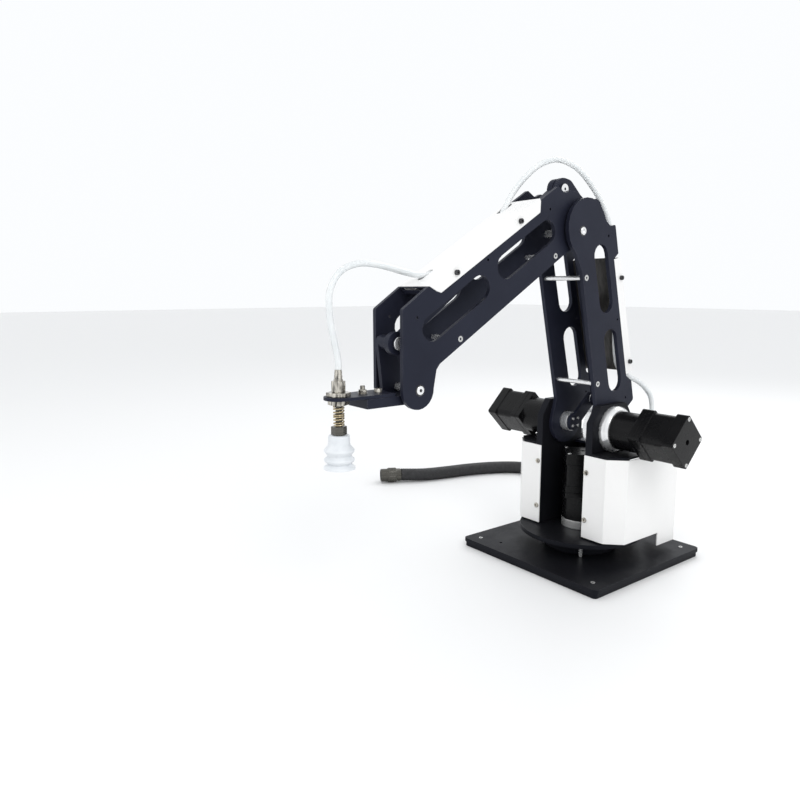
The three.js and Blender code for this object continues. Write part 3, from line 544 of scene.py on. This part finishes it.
def add_screw(bm, at, axis, radius, height, socket):
    """A screw head standing on at: rounded rim and a hexagon socket."""
    r, h, s = radius * MM, height * MM, socket * MM
    rim = min(0.35 * MM, h * 0.5)
    depth = max(h * 0.75, 0.6 * MM)
    sunk = 0.3 * MM
    profile = [
        (r, -sunk),
        (r, h - rim),
        (r - rim * 0.35, h - rim * 0.3),
        (r - rim, h),
        (s * 1.12, h),
        (s, h - 0.12 * MM),
        (s, h - depth),
    ]
    lathe(bm, profile, at, axis, 24, lambda step, angle: hexagon_radius(angle) if step > 4 else 1)


def add_screws(name, body, places, look="zinc"):
    """One piece holding every like screw of one body. places holds (at, axis, *head)."""

    def build(bm):
        for place in places:
            add_screw(bm, *place)

    piece = add_mesh(name, build, look)
    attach(piece, body)


# ---------- hoses and conduit ----------
def smooth_path(points, spacing):
    """A centripetal Catmull-Rom curve through the points, in steps of about spacing."""
    points = [Vector(p) for p in points]
    ends = [points[0] * 2 - points[1], *points, points[-1] * 2 - points[-2]]
    path = []
    for p0, p1, p2, p3 in zip(ends, ends[1:], ends[2:], ends[3:]):
        t1 = (p1 - p0).length ** 0.5
        t2 = t1 + (p2 - p1).length ** 0.5
        t3 = t2 + (p3 - p2).length ** 0.5
        steps = max(1, round((p2 - p1).length / spacing))
        for k in range(steps):
            t = t1 + (t2 - t1) * k / steps
            a1 = p0 * ((t1 - t) / t1) + p1 * (t / t1)
            a2 = p1 * ((t2 - t) / (t2 - t1)) + p2 * ((t - t1) / (t2 - t1))
            a3 = p2 * ((t3 - t) / (t3 - t2)) + p3 * ((t - t2) / (t3 - t2))
            b1 = a1 * ((t2 - t) / t2) + a2 * (t / t2)
            b2 = a2 * ((t3 - t) / (t3 - t1)) + a3 * ((t - t1) / (t3 - t1))
            path.append(b1 * ((t2 - t) / (t2 - t1)) + b2 * ((t - t1) / (t2 - t1)))
    path.append(points[-1])
    return path


def sweep(bm, path, radius, sides, relief=None):
    """A closed tube along path. relief(angle, distance) adds to its radius."""
    tangents = [(b - a).normalized() for a, b in zip(path, path[1:])]
    tangents.append(tangents[-1])
    normal = tangents[0].orthogonal().normalized()
    rings = []
    distance = 0.0
    for i, point in enumerate(path):
        if i:
            distance += (point - path[i - 1]).length
            normal = tangents[i - 1].rotation_difference(tangents[i]) @ normal
        normal = (normal - tangents[i] * normal.dot(tangents[i])).normalized()
        across = tangents[i].cross(normal)
        ring = []
        for k in range(sides):
            angle = 2 * math.pi * k / sides
            r = radius + (relief(angle, distance) if relief else 0)
            outward = normal * math.cos(angle) + across * math.sin(angle)
            ring.append(bm.verts.new(point + outward * r))
        rings.append(ring)
    bridge_rings(bm, rings)
    bm.faces.new(list(reversed(rings[0])))
    bm.faces.new(rings[-1])


HOSE_RADIUS = 0.004
CONDUIT_RADIUS = 0.0135
CUP_X = middle("suction_cup", 0)
INLET_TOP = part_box("hose_inlet")[1].z
# Centre line of each hose length, in order from the turret's fitting to the suction tool.
HOSE_ROUTES = {
    "hose_shoulder": [
        (-0.084, 0.062, INLET_TOP - 0.009),
        (-0.084, 0.062, INLET_TOP + 0.004),
        (-0.089, 0.060, 0.208),
        (-0.099, 0.056, 0.223),
        (-0.107, 0.052, 0.240),
        (-0.108, 0.047, 0.255),
        (-0.100, 0.042, 0.268),
        (-0.086, 0.038, 0.279),
        (-0.069, 0.034, 0.287),
        (-0.052, 0.031, 0.2955),
        (-0.038, 0.030, 0.310),
        (-0.030, 0.030, 0.338),
        (-0.0269, 0.030, 0.3762),
    ],
    "hose_elbow_rear": [
        (-0.0269, 0.030, 0.3762),
        (-0.020, 0.030, 0.420),
        (-0.012, 0.031, 0.462),
        (-0.004, 0.031, 0.506),
        (0.006, 0.029, 0.538),
        (0.026, 0.021, 0.572),
        (0.052, 0.011, 0.600),
        (0.074, 0.0037, 0.6103),
        (0.0825, 0.001, 0.6117),
    ],
    "hose_elbow_front": [
        (0.0825, 0.001, 0.6117),
        (0.091, -0.0018, 0.6118),
        (0.114, -0.0095, 0.603),
        (0.142, -0.017, 0.579),
        (0.1617, -0.020, 0.5554),
        (0.1714, -0.020, 0.5405),
        (0.1819, -0.018, 0.5269),
        (0.1958, -0.015, 0.5153),
        (0.2172, -0.010, 0.5019),
    ],
    "hose_wrist": [
        (0.2172, -0.010, 0.5019),
        (0.260, -0.004, 0.475),
        (0.285, -0.004, 0.4597),
        (0.3039, -0.0065, 0.4508),
        (0.317, -0.0075, 0.4466),
        (0.330, -0.0075, 0.4448),
        (0.343, -0.007, 0.4453),
        (0.354, -0.006, 0.4469),
        (0.370, -0.0045, 0.4498),
        (0.386, -0.0025, 0.4529),
        (0.402, -0.001, 0.4556),
        (0.418, 0, 0.4573),
        (0.436, 0, 0.457),
        (0.460, 0, 0.448),
        (0.475, 0, 0.426),
        (0.476, 0, 0.398),
        (0.470, 0, 0.366),
        (CUP_X, 0, 0.345),
        (CUP_X, 0, 0.3225),
    ],
}
CONNECTOR_Z = middle("conduit_connector", 2)
# The conduit leaves the turret's rear wall, comes down behind the base and lies on the table.
CONDUIT_ROUTE = [
    (-0.0765, 0, 0.090),
    (-0.086, 0, 0.090),
    (-0.112, -0.001, 0.087),
    (-0.150, -0.008, 0.070),
    (-0.188, -0.034, 0.038),
    (-0.222, -0.078, 0.019),
    (-0.258, -0.140, CONDUIT_RADIUS + 0.001),
    (-0.288, -0.214, CONDUIT_RADIUS + 0.0001),
    (-0.306, -0.290, CONDUIT_RADIUS + 0.0001),
    (-0.304, -0.352, CONDUIT_RADIUS),
    (-0.282, -0.400, CONDUIT_RADIUS),
    (-0.240, -0.432, CONDUIT_RADIUS),
    (-0.180, -0.456, CONDUIT_RADIUS),
    (-0.120, -0.470, CONDUIT_RADIUS),
    (-0.064, -0.484, CONDUIT_RADIUS + 0.001),
    (-0.020, -0.508, CONNECTOR_Z),
]
STRANDS, STRAND_PITCH, STRAND_HEIGHT = 12, 0.04, 0.0003


def add_hoses():
    """The four lengths of clear hose, each in place of its CAD node."""
    for node, route in HOSE_ROUTES.items():
        path = smooth_path(route, 0.002)
        hose = add_mesh(f"{node}_tube", lambda bm: sweep(bm, path, HOSE_RADIUS, 24), "hose")
        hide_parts(node)
        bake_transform(hose)


def braid_relief(angle, distance):
    """Two crossing sets of flat strands over the conduit."""
    twist = 2 * math.pi * distance / STRAND_PITCH
    one = math.cos(STRANDS * angle + STRANDS * twist / 2)
    other = math.cos(STRANDS * angle - STRANDS * twist / 2)
    return STRAND_HEIGHT * max(one, other) - STRAND_HEIGHT


def add_conduit():
    """The braided conduit and its connector."""
    path = smooth_path(CONDUIT_ROUTE, 0.0011)

    def build(bm):
        sweep(bm, path, CONDUIT_RADIUS, 72, braid_relief)

    conduit = add_mesh("conduit_sleeve", build, "braid", 60)
    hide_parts("control_conduit")
    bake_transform(conduit)
    connector = add_connector(path[-1], (path[-1] - path[-2]).normalized())


def add_connector(at, direction):
    """Round bayonet connector: back shell, ribbed locking ring and nose with a keyway."""
    flat = Vector((direction.x, direction.y, 0)).normalized()

    def ribs(step, angle):
        return 1 + 0.02 * math.cos(24 * angle) if 5 <= step <= 8 else 1

    def build(bm):
        shell = [(12.2, 0.4), (13.6, 1.2), (14, 3), (14, 9), (14.4, 10.5), (15.6, 12), (15.8, 13)]
        ring = [(15.8, 28), (15.6, 29.2), (14.6, 31.4), (14.3, 32), (14.3, 44.5), (13.6, 46)]
        socket = [(12.6, 46), (12.4, 38), (3, 38)]
        lathe(bm, metres(shell + ring + socket), at, flat, 96, ribs)

    connector = add_mesh("connector_body", build, "dark_steel", 30)
    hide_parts("conduit_connector")
    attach(connector, "base")
    return connector


# ---------- suction tool ----------
# The cup's profile, as [radius, height above its lip] in millimetres.
CUP_WALL = 1.9
CUP_LIP = [(19.4, 0), (19.4, 0.7), (19.1, 1.7)]
LOWER_FOLD = [(17.6, 3.3), (15.3, 4.9), (14.6, 5.9), (15.3, 6.9), (17.6, 8.9)]
MIDDLE_FOLD = [(18.5, 10.3), (18.6, 11.2), (18.2, 12.2), (16.6, 13.7), (15.0, 15.1), (14.6, 16.1)]
UPPER_FOLD = [(15.0, 17.1), (17.1, 19.7), (18.4, 21.5), (18.5, 22.5), (18.0, 23.6), (15.6, 26.4)]
CUP_SHOULDER = [(14.0, 28.4)]
CUP_NECK = [(13.4, 30.3), (13.1, 32.5), (13.0, 38.6), (12.8, 40), (12.1, 40.9)]
CUP_BORE = [(5.2, 41), (4.7, 40.7), (4.7, 35.4), (10.8, 35), (11.4, 31)]


def add_suction_cup():
    """Hollow bellows cup: a closed profile up the outside, through the bore and back down inside."""
    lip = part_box("suction_cup")[0].z
    folds = LOWER_FOLD + MIDDLE_FOLD + UPPER_FOLD + CUP_SHOULDER
    inside = [(radius - CUP_WALL, height) for radius, height in reversed(CUP_LIP[1:] + folds + CUP_NECK[:1])]
    profile = CUP_LIP + folds + CUP_NECK + CUP_BORE + inside + [(17.8, 0.3)]
    sides = 96

    def build(bm):
        rings = []
        for radius, height in metres(profile):
            ring = []
            for i in range(sides):
                angle = 2 * math.pi * i / sides
                at = (CUP_X + radius * math.cos(angle), radius * math.sin(angle), lip + height)
                ring.append(bm.verts.new(at))
            rings.append(ring)
        bridge_rings(bm, [*rings, rings[0]])

    cup = add_mesh("bellows_cup", build, "silicone", 60)
    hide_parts("suction_cup")
    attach(cup, "suction_stem")


def add_spring():
    """Coil spring round the stem, squeezed between the stem's collar and the wrist."""
    low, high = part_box("suction_spring")
    wire, radius, turns, per_turn = 0.00095, 0.0061, 7, 32
    bottom, top = low.z + wire, high.z - wire
    path = []
    for k in range(turns * per_turn + 1):
        share = k / (turns * per_turn)
        # the end turns lie nearly flat, as ground spring ends do
        rise = share - math.sin(4 * math.pi * share) / (4 * math.pi) * 0.35
        angle = 2 * math.pi * k / per_turn
        x, y = CUP_X + radius * math.cos(angle), radius * math.sin(angle)
        path.append(Vector((x, y, bottom + (top - bottom) * rise)))
    spring = add_mesh("coil_spring", lambda bm: sweep(bm, path, wire, 12), "spring", 60)
    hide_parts("suction_spring")
    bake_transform(spring)


def add_hose_barb():
    """The tapered barb and its collar, on the port's hexagon, that the hose is pushed over."""
    height_on_port = 0.0115
    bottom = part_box("vacuum_port")[1].z - height_on_port

    def build(bm):
        collar = [(5.2, 0), (5.6, 0.4), (5.6, 3.4), (5.2, 3.8), (4.6, 3.9), (4.6, 4.6)]
        barb = [(5.1, 4.8), (4.5, 9.2), (4.3, 9.3), (4.7, 9.6), (4.15, 14.4), (4.05, 14.5)]
        lathe(bm, metres(collar + barb), (CUP_X, 0, bottom), UP, 64)

    barb = add_mesh("hose_barb", build, "nickel")
    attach(barb, "wrist")


# ---------- fastenings ----------
def add_base_screws():
    """One screw near each corner of the base plate."""
    low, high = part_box("base_plate")
    inset = 0.021
    places = []
    for x in (low.x + inset, high.x - inset):
        for y in (low.y + inset, high.y - inset):
            places.append(((x, y, high.z), UP, *BASE_HEAD))
    add_screws("base_plate_screws", "base", places)


def add_turret_screws():
    """Two screws on each cover's front, and one inside each side plate next to the shoulder."""
    places = []
    front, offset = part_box("turret_cover_left")[1].x, 0.048
    for side in (1, -1):
        for height in (0.076, 0.151):
            places.append(((front, side * offset, height), (1, 0, 0), *COVER_FRONT_HEAD))
    add_screws("cover_front_screws", "turret", places, "nickel")

    inner_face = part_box("turret_side_plate_left")[0].y
    forward, height = 0.030, 0.219
    heads = []
    for side in (1, -1):
        heads.append(((forward, side * inner_face, height), (0, -side, 0), *SIDE_PLATE_HEAD))
    add_screws("turret_head_screws", "turret", heads)


def add_drive_screws():
    """Four long screws through each motor's corners."""
    across = 0.0333  # half the diagonal of a 47.1 mm screw square
    places = []
    for motor, side in (("shoulder_motor", 1), ("elbow_motor", -1)):
        low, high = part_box(motor)
        face = high.y if side > 0 else low.y
        for dx, dz in ((1, 0), (-1, 0), (0, 1), (0, -1)):
            at = (dx * across, face, SHOULDER.z + dz * across)
            places.append((at, (0, side, 0), *MOTOR_HEAD))
    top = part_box("yaw_motor")[1].z
    for dx, dy in ((1, 0), (-1, 0), (0, 1), (0, -1)):
        places.append(((dx * across, dy * across, top), UP, *MOTOR_HEAD))
    add_screws("motor_end_screws", "turret", places)


def add_upper_arm_screws():
    """Countersunk screws in the ends of the two cross rods, and cap screws in the cover's sides."""
    places, caps = [], []
    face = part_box("upper_arm_plate_left")[1].y / MM
    cover_face, cap_behind = 41.4, -76.5
    for side in (1, -1):
        for forward, along in ((7, 74.5), (4.3, 238)):
            places.append((upper_arm_point(forward, side * face, along), (0, side, 0), *UPPER_ARM_HEAD))
        for along in (84, 218.5):
            at = upper_arm_point(cap_behind, side * cover_face, along)
            caps.append((at, (0, side, 0), *CAP_HEAD))
    add_screws("upper_arm_screws", "upper_arm", places)
    add_screws("upper_cover_screws", "upper_arm", caps, "black_oxide")


def add_forearm_screws():
    """Countersunk screws in the ends of the two cross rods, and cap screws in the cover's sides."""
    places, caps = [], []
    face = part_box("forearm_plate_left")[1].y / MM
    rod_across, cap_across = -7.5, 68.3
    for side in (1, -1):
        for along in (57, 267):
            places.append((forearm_point(along, side * face, rod_across), (0, side, 0), *FOREARM_HEAD))
        for along in (97.6, 230.7):
            caps.append((forearm_point(along, side * face, cap_across), (0, side, 0), *CAP_HEAD))
    add_screws("forearm_screws", "forearm", places)
    add_screws("forearm_cover_screws", "forearm", caps, "black_oxide")


def add_wrist_screws():
    """Tool plate's cap screw, and its through bolt with a washer and nut."""
    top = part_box("tool_plate")[1].z
    front, rear = 0.431, 0.408
    add_screws("tool_plate_screw", "wrist", [((rear, 0, top), UP, *TOOL_PLATE_HEAD)], "nickel")

    def six_sided(step, angle):
        return hexagon_radius(angle)

    def build(bm):
        washer = [(6, -0.3), (6, 1), (3, 1)]
        nut = [(5.3, 1), (5.7, 1.4), (5.7, 4.9), (5.3, 5.3), (3, 5.3)]
        stud = [(3, 5.2), (3, 9.6), (2.4, 10.2)]
        for profile, shape in ((washer, None), (nut, six_sided), (stud, None)):
            lathe(bm, metres(profile), (front, 0, top), UP, 36, shape)

    bolt = add_mesh("tool_plate_bolt", build, "nickel", 30)
    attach(bolt, "wrist")


def add_shafts():
    """Elbow and wrist shafts, each end with a button head on a black ring that is painted shade of the hole
    round the head.
    """
    for node, body, axis, plate in (
        ("elbow_shaft", "upper_arm", ELBOW, "upper_arm_plate_left"),
        ("wrist_shaft", "forearm", WRIST, "forearm_plate_left"),
    ):
        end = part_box(node)[1].y / MM
        plate_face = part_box(plate)[1].y / MM
        at = (axis.x, 0, axis.z)

        def socket_shape(step, angle):
            return hexagon_radius(angle) if step > 6 else 1

        def build_shaft(bm):
            neck = [(5.5, 0), (5.5, end - 1.9)]
            head = [(5.8, end - 1.8), (5.8, end - 1.2), (5.3, end - 0.5), (4.4, end)]
            socket = [(2.7, end), (2.4, end - 0.2), (2.4, end - 2)]
            for side in (1, -1):
                lathe(bm, metres(neck + head + socket), at, (0, side, 0), 48, socket_shape)

        def build_shade_rings(bm):
            # A black ring round each head: painted shade in the recess.
            washer = [(7.2, plate_face - 0.2), (7.2, plate_face + 0.2), (5.6, plate_face + 0.25)]
            for side in (1, -1):
                lathe(bm, metres(washer), at, (0, side, 0), 48)

        shaft = add_mesh(f"{node}_turned", build_shaft, "steel_y")
        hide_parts(node)
        shade_rings = add_mesh(f"{node}_washers", build_shade_rings, "black_oxide")
        for piece in (shaft, shade_rings):
            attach(piece, body)


def add_pin_heads():
    """Bright heads of the rocker's front pin and the wrist's upper pin."""
    pin = Vector(JOINTS["forearm_link_swing"]["pos_m"])
    rocker_at = (pin.x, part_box("elbow_rocker")[1].y, pin.z)
    add_screws("rocker_pin_head", "elbow_rocker", [(rocker_at, ACROSS, *ROCKER_PIN_HEAD)], "steel_y")

    upper_pin = WRIST + (pin - ELBOW)
    past_link = 0.0043
    wrist_at = (upper_pin.x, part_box("forearm_link")[1].y + past_link, upper_pin.z)
    add_screws("wrist_pin_head", "wrist", [(wrist_at, ACROSS, *WRIST_PIN_HEAD)], "steel_y")


def add_hub_screws():
    """Rings of screws in the two output hubs, seen between the turret's plates."""

    def ring(radius, face, axis, first_turn, step, head):
        places = []
        for turn in range(first_turn, 360, step):
            dx, dz = math.cos(math.radians(turn)), math.sin(math.radians(turn))
            places.append(((dx * radius, face, SHOULDER.z + dz * radius), axis, *head))
        return places

    crank_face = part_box("elbow_crank")[1].y
    hub_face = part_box("shoulder_output_hub")[0].y
    add_screws("crank_hub_screws", "crank", ring(0.0085, crank_face, ACROSS, 45, 90, CRANK_HEAD))
    add_screws("shoulder_hub_screws", "upper_arm", ring(0.028, hub_face, (0, -1, 0), 15, 60, HUB_HEAD))


add_camera()
add_hoses()
add_conduit()
add_stage()
dress_frame()
add_suction_cup()
add_spring()
add_hose_barb()
add_base_screws()
add_turret_screws()
add_drive_screws()
add_upper_arm_screws()
add_forearm_screws()
add_wrist_screws()
add_shafts()
add_pin_heads()
add_hub_screws()
